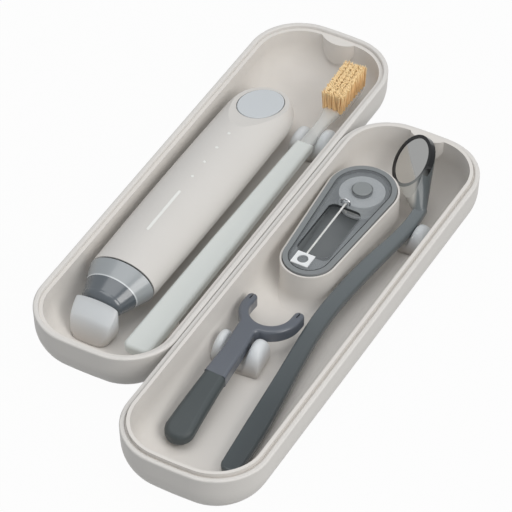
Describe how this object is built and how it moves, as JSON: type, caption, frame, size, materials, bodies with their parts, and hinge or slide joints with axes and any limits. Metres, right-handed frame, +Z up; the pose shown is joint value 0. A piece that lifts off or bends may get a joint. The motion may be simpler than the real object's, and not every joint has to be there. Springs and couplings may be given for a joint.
{
  "type": "oral care travel case",
  "caption": "Two-part rounded travel case lying open beside its lid, holding a powered handle, a toothbrush, a flosser, a floss dispenser and a dental mirror.",
  "frame": {"origin": "on the table, midway between the two case halves both across and along", "axes": "+Z up; +X from the lid half to the base half; +Y along the halves, towards their magnet ends"},
  "size_m": [0.126, 0.2592, 0.0322],
  "materials": {
    "case_plastic": "satin warm light grey",
    "liner_plastic": "satin warm light grey",
    "magnet_nickel": "nickel plated",
    "soft_silicone": "milky translucent silicone",
    "handle_plastic": "satin warm light grey",
    "button_plastic": "satin cool light grey",
    "light_pipe": "milky white",
    "dark_rubber": "matt dark grey",
    "inner_plastic": "matt dark grey",
    "collar_plastic": "satin cool grey",
    "smoky_plastic": "translucent smoky grey",
    "motor_steel": "plain",
    "cell_wrap": "shrink wrap",
    "board_laminate": "solder mask",
    "coil_copper": "enamelled copper wire",
    "brush_plastic": "satin pale cool grey",
    "clear_plastic": "clear",
    "orange_bristle": "nylon filament",
    "grip_rubber": "matt soft-touch dark grey",
    "slate_plastic": "satin slate grey",
    "white_plastic": "satin white",
    "floss_thread": "waxed white thread",
    "bright_steel": "bright stamped sheet and wire",
    "black_plastic": "gloss black",
    "mirror_glass": "silvered glass"
  },
  "bodies": {
    "base_case": {"base_shell": "case_plastic", "base_liner": "liner_plastic", "base_magnet": "magnet_nickel", "flosser_clip": "soft_silicone", "mirror_clip": "soft_silicone"},
    "lid_case": {"lid_shell": "case_plastic", "lid_liner": "liner_plastic", "lid_magnet": "magnet_nickel", "handle_rest": "soft_silicone", "brush_clip": "soft_silicone"},
    "powered_handle": {"handle_shell": "handle_plastic", "indicator_lights": "light_pipe", "light_bar": "light_pipe", "seam_seal": "dark_rubber", "front_bulkhead": "inner_plastic", "collar_ring": "collar_plastic", "shaft_seal": "dark_rubber", "nose_cap": "smoky_plastic", "drive_motor": "motor_steel", "drive_shaft": "motor_steel", "battery_cell": "cell_wrap", "chassis": "inner_plastic", "circuit_board": "board_laminate", "button_switch": "inner_plastic", "charging_coil": "coil_copper"},
    "button": {"power_button": "button_plastic"},
    "toothbrush": {"brush_handle": "brush_plastic", "brush_neck": "clear_plastic", "bristle_tufts": "orange_bristle"},
    "flosser": {"flosser_handle": "grip_rubber", "flosser_head": "slate_plastic"},
    "dispenser": {"dispenser_body": "smoky_plastic", "dispenser_cover": "smoky_plastic", "guide_hook": "bright_steel", "floss_strand": "floss_thread", "cutter_plate": "bright_steel"},
    "spool": {"floss_spool": "white_plastic", "floss_winding": "floss_thread", "spool_knob": "collar_plastic"},
    "mirror": {"mirror_grip": "smoky_plastic", "mirror_bezel": "black_plastic", "mirror_glass": "mirror_glass"}
  },
  "joints": [
    {"name": "lid_lift", "type": "slide", "parent": "base_case", "child": "lid_case", "axis": [0, 0, 1], "range_m": [0, 0.1]},
    {"name": "handle_lift", "type": "slide", "parent": "lid_case", "child": "powered_handle", "axis": [0, 0, 1], "range_m": [0, 0.08]},
    {"name": "button_press", "type": "slide", "parent": "powered_handle", "child": "button", "axis": [0, -0.2079, -0.9781], "range_m": [0, 0.0008], "stiffness_N_per_m": 1500, "springref_m": -0.001},
    {"name": "toothbrush_lift", "type": "slide", "parent": "lid_case", "child": "toothbrush", "axis": [0, 0, 1], "range_m": [0, 0.08]},
    {"name": "flosser_lift", "type": "slide", "parent": "base_case", "child": "flosser", "axis": [0, 0, 1], "range_m": [0, 0.08]},
    {"name": "dispenser_lift", "type": "slide", "parent": "base_case", "child": "dispenser", "axis": [0, 0, 1], "range_m": [0, 0.08]},
    {"name": "spool_spin", "type": "hinge", "parent": "dispenser", "child": "spool", "pos_m": [0.02115, 0.04805, 0.0159], "axis": [0, 0, 1], "continuous": true},
    {"name": "mirror_lift", "type": "slide", "parent": "base_case", "child": "mirror", "axis": [0, 0, 1], "range_m": [0, 0.08]}
  ]
}
